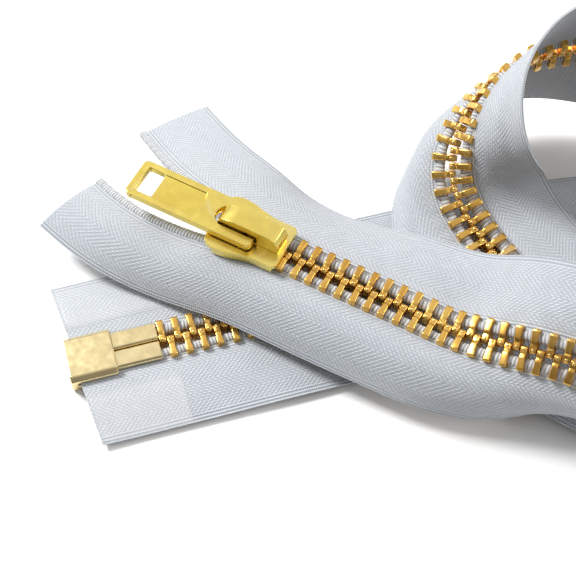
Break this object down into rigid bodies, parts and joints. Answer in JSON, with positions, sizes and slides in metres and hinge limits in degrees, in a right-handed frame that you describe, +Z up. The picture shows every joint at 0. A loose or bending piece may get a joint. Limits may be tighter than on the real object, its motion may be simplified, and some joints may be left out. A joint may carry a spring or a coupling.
{
  "type": "open-end metal zipper",
  "caption": "Open-end separating metal zipper on herringbone tape, closed, its strip laid in a loose loop, with a locking slider, pull tab, pins and retainer box.",
  "frame": {"origin": "centre of the retainer box's underside, at table height", "axes": "+Z up; the slider's mouth points to -X; +Y away from the viewer's side of the front strip"},
  "size_m": [0.1861, 0.142, 0.0522],
  "materials": {
    "tape": "woven herringbone",
    "cord": "twisted thread",
    "teeth": "polished, slightly aged",
    "stops": "polished",
    "bottom_fittings": "satin pale brass",
    "film": "clear film",
    "slider": "polished, lightly worn",
    "spring": "bright",
    "pawl": "plain"
  },
  "bodies": {
    "strip": {"left_tape": "tape", "right_tape": "tape", "left_cord": "cord", "right_cord": "cord", "left_teeth": "teeth", "right_teeth": "teeth", "left_end_film": "film", "right_end_film": "film", "retainer_box": "bottom_fittings", "box_pin": "bottom_fittings", "insertion_pin": "bottom_fittings"},
    "left_top": {"left_top_tape": "tape", "left_top_cord": "cord", "left_top_teeth": "teeth", "left_top_stop": "stops"},
    "right_top": {"right_top_tape": "tape", "right_top_cord": "cord", "right_top_teeth": "teeth", "right_top_stop": "stops"},
    "slider": {"slider_body": "slider", "crown_cap": "slider", "lock_spring": "spring"},
    "pawl": {"lock_pawl": "pawl"},
    "pull": {"pull_tab": "slider"}
  },
  "joints": [
    {"name": "slider_travel", "type": "slide", "parent": "strip", "child": "slider", "axis": [1, 0, 0], "range_m": [0, 0.032], "deforming": ["left_top_tape", "left_top_cord", "left_top_teeth", "left_top_stop", "right_top_tape", "right_top_cord", "right_top_teeth", "right_top_stop"]},
    {"name": "left_top_spread", "type": "hinge", "parent": "strip", "child": "left_top", "pos_m": [0.0615, 0.0386, 0.014], "axis": [0, 0, 1], "range_deg": [0, 6.1]},
    {"name": "right_top_spread", "type": "hinge", "parent": "strip", "child": "right_top", "pos_m": [0.0615, 0.0386, 0.014], "axis": [0, 0, -1], "range_deg": [0, 6.1]},
    {"name": "pull_swing", "type": "hinge", "parent": "slider", "child": "pull", "pos_m": [0.0215, 0.0386, 0.0187], "axis": [0, 1, 0], "range_deg": [0, 160]},
    {"name": "pawl_lift", "type": "hinge", "parent": "slider", "child": "pawl", "pos_m": [0.0246, 0.0386, 0.02015], "axis": [0, 1, 0], "range_deg": [0, 4.2], "deforming": ["lock_spring"]}
  ],
  "couplings": [
    {"joint": "left_top_spread", "follows": "slider_travel", "rad_per_m": 3.27},
    {"joint": "right_top_spread", "follows": "slider_travel", "rad_per_m": 3.27}
  ]
}
